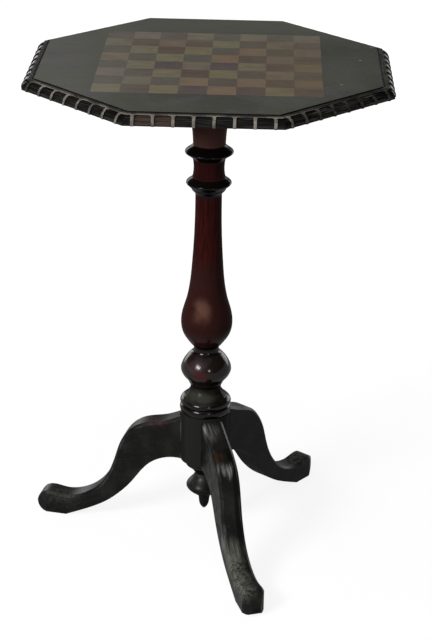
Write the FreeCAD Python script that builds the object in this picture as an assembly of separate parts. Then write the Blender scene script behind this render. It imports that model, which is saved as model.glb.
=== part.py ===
import FreeCAD, Part
import math
import os
from FreeCAD import Vector

os.makedirs("parts", exist_ok=True)

# Whole table, millimetres, floor at z = 0, column on the Z axis, board files along Y
table_height = 730.0
top_across = 500.0            # octagon, flat to flat, over the carved edge
top_thick = 15.0

# Inlaid board
square = 38.1                 # inch and a half
squares_per_side = 8
inlay_thick = 1.5
glue_line = 0.1               # left between neighbouring squares

# Carved edge moulding
edge_width = 18.0
edge_drop = 1.2               # field stands proud of the edge
quirk_width = 2.6             # dark groove between field and edge
quirk_depth = 1.9
fillet_width = 3.0            # flat listel outside the groove
step_down = 0.6               # from listel to the round
panel_sink = 1.6              # how deep each panel is scooped
panel_corner = 3.5            # rounded upper corners of a panel
panel_start = 78.0            # degrees up the round where a panel begins
ridges_per_side = 8
ridge_width = 4.0

# Turned column, heights measured up from the bottom of the hub
hub_bottom = 121.0            # above the floor
hub_r = 36.5
hub_height = 79.0
hub_bevel = 1.0
base_bead_height = 12.5
base_bead_r = 38.0
bead_groove_r = 35.0
torus_height = 12.5           # second bead, above the first
torus_r = 37.4
torus_edge_r = 31.0
shoulder_height = 10.5        # hollow slope from the torus to the neck
low_neck_r = 22.3
low_neck_height = 11.0
ball_edge_r = 25.0
ball_r = 37.0
ball_height = 47.5
waist_edge_r = 22.8           # rims of the hollow between ball and vase
waist_r = 18.4
waist_height = 15.0
vase_r = 37.4
vase_rise = 36.0              # from the hollow to the widest point
shaft_r = 18.9

# Turned column, heights measured down from the shoulder under the block
capital_r = 36.0
capital_height = 12.0
capital_step = 2.5            # capital over the top of the flare
flare_height = 61.7
collar_r = 23.0
upper_ring_height = 21.5
upper_ring_r = 34.5
ring_gap = 27.0
lower_ring_height = 16.5
lower_ring_r = 32.4
lip_height = 9.0              # from the shaft out to the lower ring
lip_r = 25.0
ring_edge_r = 23.5
ring_neck_r = 22.2

# Tenon on top of the column and its wedge
tenon_r = 16.0
wedge_top = 3.2
wedge_tip = 1.2
wedge_depth = 20.0

# Turned drop under the hub, heights measured down from the hub
drop_band = 10.0
drop_band_r = 28.0
drop_cove = 15.5
drop_neck_r = 14.2
drop_ball_height = 37.0
drop_ball_r = 27.0
drop_tip_height = 25.0
drop_tip_r = 11.0
spigot_r = 12.0
spigot_length = 32.0

# Sawn legs
right_bearing = 51.0          # degrees from +X, as seen from above
left_bearing = 168.5          # degrees
front_bearing = 288.5         # degrees
left_set_out = 7.0            # how much further out than leg_reach this leg stands
right_set_out = 0.0
front_set_out = 8.5
left_root = 189.0             # floor to the top of the leg at the hub
right_root = 197.0
front_root = 195.5
left_knee = 0.0               # how much fuller than the curve the knee of this leg is
right_knee = 5.0
front_knee = 0.0
leg_thick = 32.0
leg_reach = 256.0             # column axis to the tip of the toe
leg_rise = 194.0              # height that the leg's curves are shares of
leg_chamfer = 3.8             # flat facet along the upper edges
toe_facet = 10.0              # corners of the toe cut off, seen from above
toe_facet_run = 17.0
toe_lift = 11.5               # tip of the toe beyond the sole
sole_length = 37.0
dovetail_depth = 15.0
dovetail_neck = 13.0
dovetail_root = 18.0

# Block and bearers of the tilting top
block_across = 100.0          # between the bearers
block_deep = 100.0
block_thick = 28.0
block_bevel = 7.0
rest_gap = 0.3                # block to underside of the top
side_gap = 0.4                # block to each bearer
bearer_width = 24.0
bearer_height = 26.0
bearer_length = 300.0
bearer_bevel_run = 45.0
bearer_bevel_rise = 14.0
pin_r = 4.75
pin_in_block = 30.0
pin_clearance = 0.06          # radial, pin in bearer

# Wood screws
screw_r = 2.0
screw_head_r = 4.2
screw_head_height = 2.6
screw_slot_width = 0.9
screw_slot_depth = 1.0
bearer_screw_length = 34.0
bearer_screw_margin = 40.0    # outer screws in from the bearer's ends
small_screw_r = 1.4
small_screw_head_r = 2.8
small_screw_head_height = 1.6
case_screw_length = 9.0
strike_screw_length = 13.0

# Brass catch behind the block
bolt_width = 14.0
bolt_thick = 5.0
bolt_length = 31.0
bolt_travel = 9.0
bolt_clearance = 0.1          # bolt in its case, each side
case_roof = 2.5
case_wall = 3.0
case_deep = 38.0
case_flange = 11.0
case_flange_thick = 2.0
case_gap = 3.0                # case to back of block
bolt_setback = 0.4            # bolt nose inside the case when drawn back
knob_stem_r = 2.0
knob_stem_gap = 0.2
knob_r = 4.8
knob_drop = 5.0               # plain stem below the case
strike_width = 36.0
strike_height = 18.0
strike_thick = 1.6
strike_clearance = 0.4        # mouth around the bolt
mortise_depth = 9.0

# Cutting shapes run past the faces they cut by this much
overcut = 1.0
scoop_overcut = 6.0

# Positions that follow
z_top = table_height
z_under = table_height - top_thick
field_apothem = top_across / 2 - edge_width
z_block_top = z_under - rest_gap
z_shoulder = z_block_top - block_thick
pivot_edge = block_thick / 2
pivot_y = pivot_edge - block_deep / 2
pivot_z = z_block_top - pivot_edge
bearer_x = block_across / 2 + side_gap + bearer_width / 2


def save(name, solids):
    shape = solids[0] if len(solids) == 1 else Part.makeCompound(solids)
    shape.exportStep("parts/" + name + ".step")


def box(x0, x1, y0, y1, z0, z1):
    return Part.makeBox(x1 - x0, y1 - y0, z1 - z0, Vector(x0, y0, z0))


def octagon(apothem, z0, z1):
    corner = apothem / math.cos(math.pi / 8)
    angles = [math.pi / 8 + k * math.pi / 4 for k in range(9)]
    points = [Vector(corner * math.cos(a), corner * math.sin(a), z0) for a in angles]
    return Part.Face(Part.makePolygon(points)).extrude(Vector(0, 0, z1 - z0))


# A turning: the profile is a list of steps, each a line, an arc or a smooth curve in (r, z)
def turned(steps):
    here = Vector(steps[0][1], 0, steps[0][2])
    start = here
    edges = []
    for step in steps[1:]:
        numbers = step[1:]
        points = [Vector(numbers[i], 0, numbers[i + 1]) for i in range(0, len(numbers), 2)]
        if step[0] == "line":
            edges.append(Part.makeLine(here, points[0]))
        elif step[0] == "arc":
            edges.append(Part.Arc(here, points[0], points[1]).toShape())
        else:
            curve = Part.BSplineCurve()
            curve.interpolate([here] + points)
            edges.append(curve.toShape())
        here = points[-1]
    edges.append(Part.makeLine(here, start))
    face = Part.Face(Part.Wire(edges))
    solid = face.revolve(Vector(0, 0, 0), Vector(0, 0, 1), 360)
    return solid if solid.Volume > 0 else solid.reversed()


# A countersunk screw with a slotted head, head face at the origin, driven along +Z
def screw(radius, head_r, head_height, length):
    tip = radius * 1.5
    body = turned([
        ("start", 0, 0),
        ("line", head_r, 0),
        ("line", radius, head_height),
        ("line", radius, length - tip),
        ("line", 0, length),
    ])
    half = screw_slot_width / 2
    depth = min(screw_slot_depth, head_height * 0.6)
    slot = box(-head_r * 1.1, head_r * 1.1, -half, half, -overcut, depth)
    return body, body.cut(slot)


# Top board with the shallow pocket that takes the squares
board_half = square * squares_per_side / 2
z_pocket = z_top - inlay_thick
top_board = octagon(field_apothem, z_under, z_top)
pocket = box(-board_half, board_half, -board_half, board_half, z_pocket, z_top + overcut)
top_board = top_board.cut(pocket)

# Squares, the near left one light
light = []
dark = []
for i in range(squares_per_side):
    for j in range(squares_per_side):
        x = -board_half + i * square + glue_line / 2
        y = -board_half + j * square + glue_line / 2
        tile = box(x, x + square - glue_line, y, y + square - glue_line, z_pocket, z_top)
        if (i + j) % 2 == 0:
            light.append(tile)
        else:
            dark.append(tile)
save("light_squares", light)
save("dark_squares", dark)

# Edge moulding: one side made facing -Y, then turned to all eight places
round_r = edge_width - quirk_width - fillet_width
round_n = field_apothem + quirk_width + fillet_width
z_edge = z_top - edge_drop
round_z = z_edge - step_down - round_r
side = top_across * math.tan(math.pi / 8)
pitch = side / ridges_per_side
long_enough = side * 0.6


def at(n, z):
    return Vector(-long_enough, -n, z)


def on_round(radius, degrees):
    turn = math.radians(degrees)
    return at(round_n + radius * math.cos(turn), round_z + radius * math.sin(turn))


inner = field_apothem
groove = inner + quirk_width
outer = inner + edge_width
section = Part.Wire([
    Part.makeLine(at(inner, z_under), at(inner, z_top - quirk_depth)),
    Part.makeLine(at(inner, z_top - quirk_depth), at(groove, z_top - quirk_depth)),
    Part.makeLine(at(groove, z_top - quirk_depth), at(groove, z_edge)),
    Part.makeLine(at(groove, z_edge), at(round_n, z_edge)),
    Part.makeLine(at(round_n, z_edge), on_round(round_r, 90)),
    Part.Arc(on_round(round_r, 90), on_round(round_r, 45), on_round(round_r, 0)).toShape(),
    Part.makeLine(on_round(round_r, 0), at(outer, z_under)),
    Part.makeLine(at(outer, z_under), at(inner, z_under)),
])
moulding = Part.Face(section).extrude(Vector(2 * long_enough, 0, 0))

floor_r = round_r - panel_sink
clear = outer + scoop_overcut
z_low = z_under - overcut
far = on_round(round_r + scoop_overcut, panel_start)
floor_arc = [on_round(floor_r, panel_start * share) for share in (1, 0.5, 0)]
scoop_section = Part.Wire([
    Part.Arc(floor_arc[0], floor_arc[1], floor_arc[2]).toShape(),
    Part.makeLine(on_round(floor_r, 0), at(round_n + floor_r, z_low)),
    Part.makeLine(at(round_n + floor_r, z_low), at(clear, z_low)),
    Part.makeLine(at(clear, z_low), at(clear, far.z)),
    Part.makeLine(at(clear, far.z), far),
    Part.makeLine(far, on_round(floor_r, panel_start)),
])
panel_length = pitch - ridge_width
scoop = Part.Face(scoop_section).extrude(Vector(panel_length, 0, 0))
upper = []
for edge in scoop.Edges:
    ends = [v.Point for v in edge.Vertexes]
    level = abs(ends[0].x - ends[-1].x) < 0.01
    sloped = any(p.distanceToPoint(Vector(p.x, far.y, far.z)) < 0.01 for p in ends)
    lowest = min(p.z for p in ends)
    if level and sloped and lowest < far.z - 1:
        upper.append(edge)
scoop = scoop.makeFillet(panel_corner, upper)
scoop.translate(Vector(long_enough, 0, 0))
for k in range(ridges_per_side + 1):
    start = (k - ridges_per_side / 2 - 0.5) * pitch + ridge_width / 2
    cutter = scoop.copy()
    cutter.translate(Vector(start, 0, 0))
    moulding = moulding.cut(cutter)
reach = top_across
spread = reach * math.tan(math.pi / 8)
mitre_outline = [
    Vector(0, 0, z_low),
    Vector(-spread, -reach, z_low),
    Vector(spread, -reach, z_low),
    Vector(0, 0, z_low),
]
mitre = Part.Face(Part.makePolygon(mitre_outline)).extrude(Vector(0, 0, top_thick + 2 * overcut))
moulding = moulding.common(mitre)
places = ["front", "front_right", "right", "back_right", "back", "back_left", "left", "front_left"]
for k, place in enumerate(places):
    piece = moulding.copy()
    piece.rotate(Vector(0, 0, 0), Vector(0, 0, 1), 45 * k)
    save("edge_" + place, [piece])

# Bearers under the top, each bored for its pivot pin
z_bearer = z_under - bearer_height
half_length = bearer_length / 2
bearer_outline = [
    Vector(0, -half_length, z_under),
    Vector(0, -half_length, z_bearer + bearer_bevel_rise),
    Vector(0, -half_length + bearer_bevel_run, z_bearer),
    Vector(0, half_length - bearer_bevel_run, z_bearer),
    Vector(0, half_length, z_bearer + bearer_bevel_rise),
    Vector(0, half_length, z_under),
]
bearer_face = Part.Face(Part.makePolygon(bearer_outline + bearer_outline[:1]))
bearer_plain = bearer_face.extrude(Vector(bearer_width, 0, 0))
screw_whole, screw_slotted = screw(screw_r, screw_head_r, screw_head_height, bearer_screw_length)
bearer_screws = []
for name, x in (("left", -bearer_x), ("right", bearer_x)):
    bearer = bearer_plain.copy()
    bearer.translate(Vector(x - bearer_width / 2, 0, 0))
    start = Vector(x - bearer_width, pivot_y, pivot_z)
    bore = Part.makeCylinder(pin_r + pin_clearance, 2 * bearer_width, start, Vector(1, 0, 0))
    bearer = bearer.cut(bore)
    for k in (-1, 0, 1):
        place = Vector(x, k * (half_length - bearer_screw_margin) - pivot_y / 2, z_bearer)
        hole = screw_whole.copy()
        hole.translate(place)
        bearer = bearer.cut(hole)
        top_board = top_board.cut(hole)
        fixing = screw_slotted.copy()
        fixing.translate(place)
        bearer_screws.append(fixing)
    save("bearer_" + name, [bearer])
save("bearer_screws", bearer_screws)

# Catch case on the underside of the top, behind the block
case_y0 = block_deep / 2 + case_gap
case_y1 = case_y0 + case_deep
case_half = bolt_width / 2 + bolt_clearance + case_wall
channel_top = z_under - case_roof
channel_low = channel_top - bolt_thick - 2 * bolt_clearance
case_low = channel_low - case_wall / 2
flange_half = case_half + case_flange
case = box(-case_half, case_half, case_y0, case_y1, case_low, z_under)
case = case.fuse(box(-flange_half, flange_half, case_y0, case_y1, z_under - case_flange_thick, z_under))
channel_half = bolt_width / 2 + bolt_clearance
channel_y0 = case_y0 - overcut
channel_y1 = case_y1 + overcut
case = case.cut(box(-channel_half, channel_half, channel_y0, channel_y1, channel_low, channel_top))
bolt_y0 = case_y0 + bolt_setback
bolt_y1 = bolt_y0 + bolt_length
knob_y = (bolt_y0 + bolt_y1) / 2 + bolt_travel / 2
slot_half = knob_stem_r + knob_stem_gap
slot_y0 = knob_y - bolt_travel - slot_half
slot_y1 = knob_y + slot_half
case = case.cut(box(-slot_half, slot_half, slot_y0, slot_y1, case_low - overcut, channel_low + overcut))
case = case.removeSplitter()
small_head = (small_screw_r, small_screw_head_r, small_screw_head_height)
small_whole, small_slotted = screw(*small_head, case_screw_length)
case_screws = []
screw_x = case_half + case_flange / 2
for side_sign in (-1, 1):
    for y in (0.2, 0.8):
        place = Vector(side_sign * screw_x, case_y0 + y * case_deep, z_under - case_flange_thick)
        hole = small_whole.copy()
        hole.translate(place)
        case = case.cut(hole)
        top_board = top_board.cut(hole)
        fixing = small_slotted.copy()
        fixing.translate(place)
        case_screws.append(fixing)
save("catch_case", [case])
save("catch_screws", case_screws)
save("top_board", [top_board])

# Catch bolt drawn back, and its turned knob
bolt_z0 = channel_low + bolt_clearance
bolt_z1 = bolt_z0 + bolt_thick
bolt = box(-bolt_width / 2, bolt_width / 2, bolt_y0, bolt_y1, bolt_z0, bolt_z1)
front_edges = [e for e in bolt.Edges if abs(e.CenterOfMass.y - bolt_y0) < 0.01]
nose = [e for e in front_edges if abs(e.CenterOfMass.z - bolt_z0) < 0.01]
bolt = bolt.makeFillet(bolt_thick / 2, nose)
stem_top = bolt_z0 + bolt_thick * 0.6
z_knob = case_low - knob_drop
knob = turned([
    ("start", 0, stem_top),
    ("line", knob_stem_r, stem_top),
    ("line", knob_stem_r, z_knob),
    ("arc", knob_r, z_knob - knob_r * 0.8, knob_stem_r, z_knob - knob_r * 1.6),
    ("line", 0, z_knob - knob_r * 1.6),
])
knob.translate(Vector(0, knob_y, 0))
bolt = bolt.cut(knob)
save("catch_bolt", [bolt])
save("catch_knob", [knob])

# Block on the column, rounded about the pivot so the top can swing past it
half = block_across / 2
back = block_deep / 2
front = -back
turn = math.sqrt(0.5) * pivot_edge
z_bevel = z_shoulder + block_bevel
over_pivot = Vector(-half, pivot_y, z_block_top)
beside_pivot = Vector(-half, front, pivot_z)
between = Vector(-half, pivot_y - turn, pivot_z + turn)
block_outline = [
    beside_pivot,
    Vector(-half, front, z_bevel),
    Vector(-half, front + block_bevel, z_shoulder),
    Vector(-half, back - block_bevel, z_shoulder),
    Vector(-half, back, z_bevel),
    Vector(-half, back, z_block_top),
    over_pivot,
]
block_edges = [Part.makeLine(a, b) for a, b in zip(block_outline, block_outline[1:])]
block_edges.append(Part.Arc(over_pivot, between, beside_pivot).toShape())
block_section = Part.Wire(block_edges)
block = Part.Face(block_section).extrude(Vector(block_across, 0, 0))
block = block.cut(Part.makeCylinder(tenon_r, block_thick + 2 * overcut, Vector(0, 0, z_shoulder - overcut)))

# Pivot pins, fast in the block and turning in the bearers
pin_length = pin_in_block + side_gap + bearer_width
for name, x, way in (("left", -half + pin_in_block, -1), ("right", half - pin_in_block, 1)):
    pin = Part.makeCylinder(pin_r, pin_length, Vector(x, pivot_y, pivot_z), Vector(way, 0, 0))
    block = block.cut(pin)
    save("pivot_pin_" + name, [pin])

# Strike plate let into the back of the block, with a mortise for the bolt
mouth_half = bolt_width / 2 + strike_clearance
mouth_low = bolt_z0 - strike_clearance
mouth_high = bolt_z1 + strike_clearance
strike_half = strike_width / 2
z_strike = z_block_top - strike_height
plate = box(-strike_half, strike_half, back - strike_thick, back, z_strike, z_block_top)
block = block.cut(plate)
mouth_y0 = back - strike_thick - overcut
mouth_y1 = back + overcut
plate = plate.cut(box(-mouth_half, mouth_half, mouth_y0, mouth_y1, mouth_low, mouth_high))
block = block.cut(box(-mouth_half, mouth_half, back - mortise_depth, back, mouth_low, mouth_high))
strike_whole, strike_slotted = screw(*small_head, strike_screw_length)
strike_screws = []
for x in (-1, 1):
    place = Vector(x * (strike_half + mouth_half) / 2, back, z_strike + strike_height * 0.4)
    hole = strike_whole.copy()
    hole.rotate(Vector(0, 0, 0), Vector(1, 0, 0), 90)
    hole.translate(place)
    plate = plate.cut(hole)
    block = block.cut(hole)
    fixing = strike_slotted.copy()
    fixing.rotate(Vector(0, 0, 0), Vector(1, 0, 0), 90)
    fixing.translate(place)
    strike_screws.append(fixing)
save("strike_plate", [plate])
save("strike_screws", strike_screws)
save("top_block", [block])

# Column profile from the hub up
z_hub = hub_bottom + hub_height
z_bead = z_hub + base_bead_height
z_torus = z_bead + torus_height
z_low_neck = z_torus + shoulder_height
z_ball = z_low_neck + low_neck_height
z_ball_top = z_ball + ball_height
z_waist = z_ball_top + waist_height
z_vase = z_waist + vase_rise
z_flare = z_shoulder - capital_height
z_collar = z_flare - flare_height
z_upper = z_collar - upper_ring_height
z_lower = z_upper - ring_gap
z_lip = z_lower - lower_ring_height
z_shaft = z_lip - lip_height
shaft = z_shaft - z_vase
flare_swell = capital_r - collar_r
column = turned([
    ("start", 0, hub_bottom),
    ("line", hub_r, hub_bottom),
    ("line", hub_r, z_hub - hub_bevel),
    ("line", bead_groove_r, z_hub),
    ("arc", base_bead_r, z_hub + base_bead_height / 2, bead_groove_r, z_bead),
    ("curve",
     torus_r, z_bead + torus_height * 0.46,
     torus_r * 0.94, z_bead + torus_height * 0.76,
     torus_edge_r, z_torus),
    ("curve",
     torus_edge_r * 0.82, z_torus + shoulder_height * 0.62,
     low_neck_r * 1.03, z_low_neck),
    ("arc", low_neck_r, z_low_neck + low_neck_height * 0.3, ball_edge_r, z_ball),
    ("curve",
     ball_r * 0.735, z_ball + ball_height * 0.10,
     ball_r * 0.855, z_ball + ball_height * 0.21,
     ball_r * 0.957, z_ball + ball_height * 0.335,
     ball_r, z_ball + ball_height * 0.465,
     ball_r * 0.96, z_ball + ball_height * 0.61,
     ball_r * 0.85, z_ball + ball_height * 0.78,
     waist_edge_r, z_ball_top),
    ("arc", waist_r, z_ball_top + waist_height * 0.5, waist_edge_r, z_waist),
    ("curve",
     vase_r * 0.725, z_waist + vase_rise * 0.16,
     vase_r * 0.905, z_waist + vase_rise * 0.46,
     vase_r, z_vase,
     vase_r * 0.935, z_vase + shaft * 0.085,
     vase_r * 0.805, z_vase + shaft * 0.17,
     vase_r * 0.71, z_vase + shaft * 0.255,
     vase_r * 0.60, z_vase + shaft * 0.455,
     shaft_r * 1.04, z_vase + shaft * 0.71,
     shaft_r, z_shaft),
    ("curve",
     shaft_r * 1.07, z_shaft + lip_height * 0.33,
     lip_r * 0.94, z_shaft + lip_height * 0.70,
     lip_r, z_lip),
    ("curve",
     lower_ring_r * 0.85, z_lip + lower_ring_height * 0.19,
     lower_ring_r * 0.955, z_lip + lower_ring_height * 0.375,
     lower_ring_r, z_lip + lower_ring_height * 0.52,
     lower_ring_r * 0.93, z_lip + lower_ring_height * 0.69,
     lower_ring_r * 0.81, z_lip + lower_ring_height * 0.86,
     ring_edge_r, z_lower),
    ("curve",
     ring_neck_r, z_lower + ring_gap * 0.26,
     ring_edge_r * 0.985, z_upper),
    ("curve",
     upper_ring_r * 0.75, z_upper + upper_ring_height * 0.16,
     upper_ring_r * 0.90, z_upper + upper_ring_height * 0.335,
     upper_ring_r, z_upper + upper_ring_height * 0.49,
     upper_ring_r * 0.90, z_upper + upper_ring_height * 0.665,
     upper_ring_r * 0.75, z_upper + upper_ring_height * 0.84,
     collar_r, z_collar),
    ("curve",
     collar_r + flare_swell * 0.05, z_collar + flare_height * 0.2,
     collar_r + flare_swell * 0.19, z_collar + flare_height * 0.48,
     capital_r - capital_step, z_flare),
    ("line", capital_r, z_flare),
    ("line", capital_r, z_shoulder),
    ("line", tenon_r, z_shoulder),
    ("line", tenon_r, z_block_top),
    ("line", 0, z_block_top),
])

# Wedge that spreads the tenon
wedge_outline = [
    Vector(-2 * tenon_r, -wedge_top / 2, z_block_top),
    Vector(-2 * tenon_r, wedge_top / 2, z_block_top),
    Vector(-2 * tenon_r, wedge_tip / 2, z_block_top - wedge_depth),
    Vector(-2 * tenon_r, -wedge_tip / 2, z_block_top - wedge_depth),
]
wedge = Part.Face(Part.makePolygon(wedge_outline + wedge_outline[:1])).extrude(Vector(4 * tenon_r, 0, 0))
z_wedge = z_block_top - wedge_depth - overcut
wedge = wedge.common(Part.makeCylinder(tenon_r, wedge_depth + 2 * overcut, Vector(0, 0, z_wedge)))
column = column.cut(wedge)
save("tenon_wedge", [wedge])

# Turned drop with a spigot up into the hub
z_band = hub_bottom - drop_band
z_neck = z_band - drop_cove
z_drop = z_neck - drop_ball_height
drop = turned([
    ("start", 0, hub_bottom + spigot_length),
    ("line", spigot_r, hub_bottom + spigot_length),
    ("line", spigot_r, hub_bottom),
    ("line", drop_band_r, hub_bottom),
    ("line", drop_band_r, z_band),
    ("curve",
     drop_band_r * 0.88, z_band - drop_cove * 0.17,
     drop_band_r * 0.69, z_band - drop_cove * 0.5,
     drop_neck_r, z_neck),
    ("curve",
     drop_ball_r * 0.59, z_neck - drop_ball_height * 0.13,
     drop_ball_r * 0.82, z_neck - drop_ball_height * 0.34,
     drop_ball_r, z_neck - drop_ball_height * 0.58,
     drop_ball_r * 0.88, z_neck - drop_ball_height * 0.73,
     drop_tip_r, z_drop),
    ("curve",
     drop_tip_r * 0.77, z_drop - drop_tip_height * 0.2,
     drop_tip_r * 0.68, z_drop - drop_tip_height * 0.52,
     drop_tip_r * 0.42, z_drop - drop_tip_height * 0.82,
     0, z_drop - drop_tip_height),
])
column = column.cut(Part.makeCylinder(spigot_r, spigot_length, Vector(0, 0, hub_bottom)))
save("pendant", [drop])

# Legs: upper and lower curves as shares of reach and rise, each leg made along +X
span = leg_reach - hub_r
half_thick = leg_thick / 2
low_root = Vector(0, 0, hub_bottom)

# Dovetail that slides up into the hub
tail_top = leg_rise * 0.985
tail_in = hub_r - dovetail_depth
tail_out = hub_r + overcut
tail = Part.Face(Part.makePolygon([
    Vector(tail_in, -dovetail_root / 2, hub_bottom),
    Vector(tail_in, dovetail_root / 2, hub_bottom),
    Vector(hub_r, dovetail_neck / 2, hub_bottom),
    Vector(tail_out, dovetail_neck / 2, hub_bottom),
    Vector(tail_out, -dovetail_neck / 2, hub_bottom),
    Vector(hub_r, -dovetail_neck / 2, hub_bottom),
    Vector(tail_in, -dovetail_root / 2, hub_bottom),
])).extrude(Vector(0, 0, tail_top - hub_bottom))


def make_leg(set_out, root, knee):
    def point(along, up):
        return Vector(hub_r + set_out + along * span, 0, up * leg_rise)

    def smooth(points):
        curve = Part.BSplineCurve()
        curve.interpolate(points)
        return curve.toShape()

    high_root = Vector(0, 0, root * 1.03)
    end = leg_reach + set_out
    tip = Vector(end, 0, leg_rise * 0.075)
    sole = Vector(end - toe_lift, 0, 0)
    heel = Vector(end - toe_lift - sole_length, 0, 0)
    low_hub = Vector(hub_r * 0.9, 0, hub_bottom)
    upper_curve = smooth([
        high_root,
        Vector(hub_r, 0, root),
        Vector(hub_r + span * 0.101, 0, root * 0.95),
        point(0.243, 0.873) + Vector(0, 0, knee),
        point(0.349, 0.77),
        point(0.394, 0.67),
        point(0.425, 0.555),
        point(0.47, 0.42),
        point(0.551, 0.285),
        point(0.688, 0.187),
        point(0.809, 0.168),
        point(0.898, 0.182),
        point(0.95, 0.167),
        point(0.984, 0.122),
        tip,
    ])
    toe_curve = smooth([tip, point(0.985, 0.022), sole])
    lower_curve = smooth([
        heel,
        point(0.617, 0.083),
        point(0.486, 0.167),
        point(0.379, 0.27),
        point(0.301, 0.37),
        point(0.235, 0.475),
        point(0.17, 0.555),
        point(0.086, 0.608),
        low_hub,
    ])
    profile = Part.Wire([
        upper_curve,
        toe_curve,
        Part.makeLine(sole, heel),
        lower_curve,
        Part.makeLine(low_hub, low_root),
        Part.makeLine(low_root, high_root),
    ])
    leg = Part.Face(profile).extrude(Vector(0, leg_thick, 0))
    leg.translate(Vector(0, -half_thick, 0))
    long_edges = [e for e in leg.Edges if e.Length > leg_reach * 0.8]
    upper_edges = [e for e in long_edges if abs(abs(e.CenterOfMass.y) - half_thick) < 0.01]
    upper_edges.sort(key=lambda e: -e.CenterOfMass.z)
    leg = leg.makeChamfer(leg_chamfer, upper_edges[:2])
    toe_plan = [
        Vector(0, -half_thick, 0),
        Vector(end - toe_facet_run, -half_thick, 0),
        Vector(end, -half_thick + toe_facet, 0),
        Vector(end, half_thick - toe_facet, 0),
        Vector(end - toe_facet_run, half_thick, 0),
        Vector(0, half_thick, 0),
        Vector(0, -half_thick, 0),
    ]
    leg = leg.common(Part.Face(Part.makePolygon(toe_plan)).extrude(Vector(0, 0, 2 * leg_rise)))
    leg = leg.cut(Part.makeCylinder(hub_r, 3 * leg_rise, Vector(0, 0, -leg_rise)))
    return leg.fuse(tail).removeSplitter()


legs = (
    ("left", left_bearing, left_set_out, left_root, left_knee),
    ("right", right_bearing, right_set_out, right_root, right_knee),
    ("front", front_bearing, front_set_out, front_root, front_knee),
)
for name, bearing, set_out, root, knee in legs:
    leg = make_leg(set_out, root, knee)
    leg.rotate(Vector(0, 0, 0), Vector(0, 0, 1), bearing)
    column = column.cut(leg)
    save("leg_" + name, [leg])
save("column", [column])
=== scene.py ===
import bpy
import math
from mathutils import Matrix, Vector


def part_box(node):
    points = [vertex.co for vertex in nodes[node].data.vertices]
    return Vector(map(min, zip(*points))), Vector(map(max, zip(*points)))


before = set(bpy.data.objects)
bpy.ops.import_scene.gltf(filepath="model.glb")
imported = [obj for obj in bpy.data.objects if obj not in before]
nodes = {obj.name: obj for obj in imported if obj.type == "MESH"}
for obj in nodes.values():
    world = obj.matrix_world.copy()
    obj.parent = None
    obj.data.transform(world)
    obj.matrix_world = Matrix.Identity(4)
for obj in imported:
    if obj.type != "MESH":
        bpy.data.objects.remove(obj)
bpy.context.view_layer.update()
print("frame loaded:", len(nodes), "nodes")

mm = 0.001  # the scene is in metres, sizes below are in millimetres


# sRGB hex to the linear colour that sockets take
def toLinear(hexColour):
    channels = [int(hexColour[i:i + 2], 16) / 255 for i in (1, 3, 5)]
    linear = [c / 12.92 if c <= 0.04045 else ((c + 0.055) / 1.055) ** 2.4 for c in channels]
    return (*linear, 1.0)


# adds one node: settings are its properties, sockets take a value, a node or another node's socket
def addNode(tree, kind, sockets=None, **settings):
    node = tree.nodes.new("ShaderNode" + kind)
    for key, value in settings.items():
        setattr(node, key, value)
    for key, value in (sockets or {}).items():
        if isinstance(value, bpy.types.Node):
            value = value.outputs[0]
        if isinstance(value, bpy.types.NodeSocket):
            tree.links.new(value, node.inputs[key])
        else:
            node.inputs[key].default_value = value
    return node


# texture scale at which one feature is this many millimetres across
def perMm(size):
    return 1.0 / (size * mm)


def newMaterial(name):
    material = bpy.data.materials.new(name)
    material.use_nodes = True
    material.node_tree.nodes.clear()
    place = addNode(material.node_tree, "TexCoord").outputs["Object"]
    return material, material.node_tree, place


# noise drawn out along one axis, as wood fibres are
def fibres(tree, place, axis, width, length, detail=4.0):
    squeeze = [1.0, 1.0, 1.0]
    squeeze[axis] = width / length
    drawn = addNode(tree, "Mapping", {"Vector": place, "Scale": squeeze})
    return addNode(tree, "TexNoise", {"Vector": drawn, "Scale": perMm(width), "Detail": detail,
                                      "Roughness": 0.6})


# lays one colour over another where a value runs from low to high, at most this strong
def layer(tree, under, over, value, low=0.0, high=1.0, most=1.0):
    mask = addNode(tree, "MapRange", {"Value": value, "From Min": low, "From Max": high, "To Max": most},
                   interpolation_type="SMOOTHSTEP")
    under, over = [toLinear(c) if isinstance(c, str) else c for c in (under, over)]
    return addNode(tree, "Mix", {"Factor": mask, 6: under, 7: over}, data_type="RGBA").outputs[2]


# 1 between two limits of a value, running out to 0 over a soft margin on either side
def band(tree, value, first, last, soft):
    rise = addNode(tree, "MapRange", {"Value": value, "From Min": first - soft, "From Max": first + soft})
    fall = addNode(tree, "MapRange", {"Value": value, "From Min": last + soft, "From Max": last - soft})
    return addNode(tree, "Math", {0: rise, 1: fall}, operation="MULTIPLY")


# 1 at a point of the part, in millimetres, running out to 0 over its size along X, Y and Z;
# a noise makes it ragged
def spot(tree, place, spec, ragged=None):
    core = 0.3            # share of the size that is at full strength
    cover = (0.34, 0.62)  # levels of the noise that are bare and covered
    middle = [value * mm for value in spec["at"]]
    size = [value * mm for value in spec["size"]]
    away = addNode(tree, "VectorMath", {0: place, 1: middle}, operation="SUBTRACT")
    away = addNode(tree, "VectorMath", {0: away, 1: size}, operation="DIVIDE")
    away = addNode(tree, "VectorMath", {0: away}, operation="LENGTH").outputs["Value"]
    near = addNode(tree, "MapRange", {"Value": away, "From Min": 1.0, "From Max": core})
    if ragged is None:
        return near
    broken = addNode(tree, "MapRange", {"Value": ragged.outputs["Fac"], "From Min": cover[0],
                                        "From Max": cover[1]})
    return addNode(tree, "Math", {0: near, 1: broken}, operation="MULTIPLY")


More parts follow.
